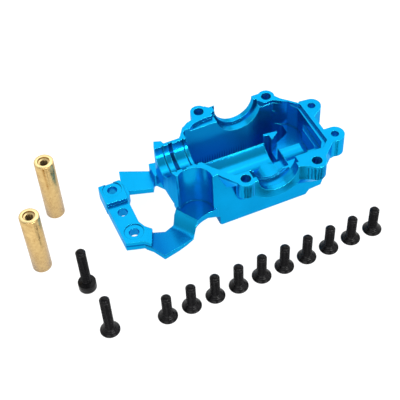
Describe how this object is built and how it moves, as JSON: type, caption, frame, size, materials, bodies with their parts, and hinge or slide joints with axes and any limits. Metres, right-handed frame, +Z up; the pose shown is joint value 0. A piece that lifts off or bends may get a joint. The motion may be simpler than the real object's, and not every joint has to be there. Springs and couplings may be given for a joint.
{
  "type": "gear reducer case half with hardware",
  "caption": "Open lower half of a small inline gear reducer case with bearing half bores and a mounting bracket, with its loose brass posts and screws laid out beside it.",
  "frame": {"origin": "on the base plane, straight below the crossing of the pinion axis and the cross shaft axis", "axes": "+X along the pinion axis, away from the pinion neck; +Y along the cross shaft axis, towards the back; +Z up, out of the open side of the case"},
  "size_m": [0.1039, 0.058, 0.024],
  "materials": {
    "case": "blue anodised, satin",
    "post": "turned, bright",
    "screw": "black oxide, slightly oily"
  },
  "bodies": {
    "case": {"gear_case_half": "case"},
    "post_back_loose": {"post_back": "post"},
    "post_front_loose": {"post_front": "post"},
    "post_screw_cap_loose": {"post_screw_cap": "screw"},
    "post_screw_flat_loose": {"post_screw_flat": "screw"},
    "cover_screw_1_loose": {"cover_screw_1": "screw"},
    "cover_screw_2_loose": {"cover_screw_2": "screw"},
    "cover_screw_3_loose": {"cover_screw_3": "screw"},
    "cover_screw_4_loose": {"cover_screw_4": "screw"},
    "cover_screw_5_loose": {"cover_screw_5": "screw"},
    "cover_screw_6_loose": {"cover_screw_6": "screw"},
    "cover_screw_7_loose": {"cover_screw_7": "screw"},
    "cover_screw_8_loose": {"cover_screw_8": "screw"},
    "cover_screw_9_loose": {"cover_screw_9": "screw"},
    "cover_screw_10_loose": {"cover_screw_10": "screw"}
  },
  "joints": [
    {"name": "post_back_lift", "type": "slide", "parent": "case", "child": "post_back_loose", "axis": [0, 0, 1], "range_m": [0, 0.03]},
    {"name": "post_front_lift", "type": "slide", "parent": "case", "child": "post_front_loose", "axis": [0, 0, 1], "range_m": [0, 0.03]},
    {"name": "post_screw_cap_lift", "type": "slide", "parent": "case", "child": "post_screw_cap_loose", "axis": [0, 0, 1], "range_m": [0, 0.026]},
    {"name": "post_screw_flat_lift", "type": "slide", "parent": "case", "child": "post_screw_flat_loose", "axis": [0, 0, 1], "range_m": [0, 0.024]},
    {"name": "cover_screw_1_lift", "type": "slide", "parent": "case", "child": "cover_screw_1_loose", "axis": [0, 0, 1], "range_m": [0, 0.026]},
    {"name": "cover_screw_2_lift", "type": "slide", "parent": "case", "child": "cover_screw_2_loose", "axis": [0, 0, 1], "range_m": [0, 0.026]},
    {"name": "cover_screw_3_lift", "type": "slide", "parent": "case", "child": "cover_screw_3_loose", "axis": [0, 0, 1], "range_m": [0, 0.026]},
    {"name": "cover_screw_4_lift", "type": "slide", "parent": "case", "child": "cover_screw_4_loose", "axis": [0, 0, 1], "range_m": [0, 0.026]},
    {"name": "cover_screw_5_lift", "type": "slide", "parent": "case", "child": "cover_screw_5_loose", "axis": [0, 0, 1], "range_m": [0, 0.026]},
    {"name": "cover_screw_6_lift", "type": "slide", "parent": "case", "child": "cover_screw_6_loose", "axis": [0, 0, 1], "range_m": [0, 0.026]},
    {"name": "cover_screw_7_lift", "type": "slide", "parent": "case", "child": "cover_screw_7_loose", "axis": [0, 0, 1], "range_m": [0, 0.026]},
    {"name": "cover_screw_8_lift", "type": "slide", "parent": "case", "child": "cover_screw_8_loose", "axis": [0, 0, 1], "range_m": [0, 0.026]},
    {"name": "cover_screw_9_lift", "type": "slide", "parent": "case", "child": "cover_screw_9_loose", "axis": [0, 0, 1], "range_m": [0, 0.026]},
    {"name": "cover_screw_10_lift", "type": "slide", "parent": "case", "child": "cover_screw_10_loose", "axis": [0, 0, 1], "range_m": [0, 0.026]}
  ]
}
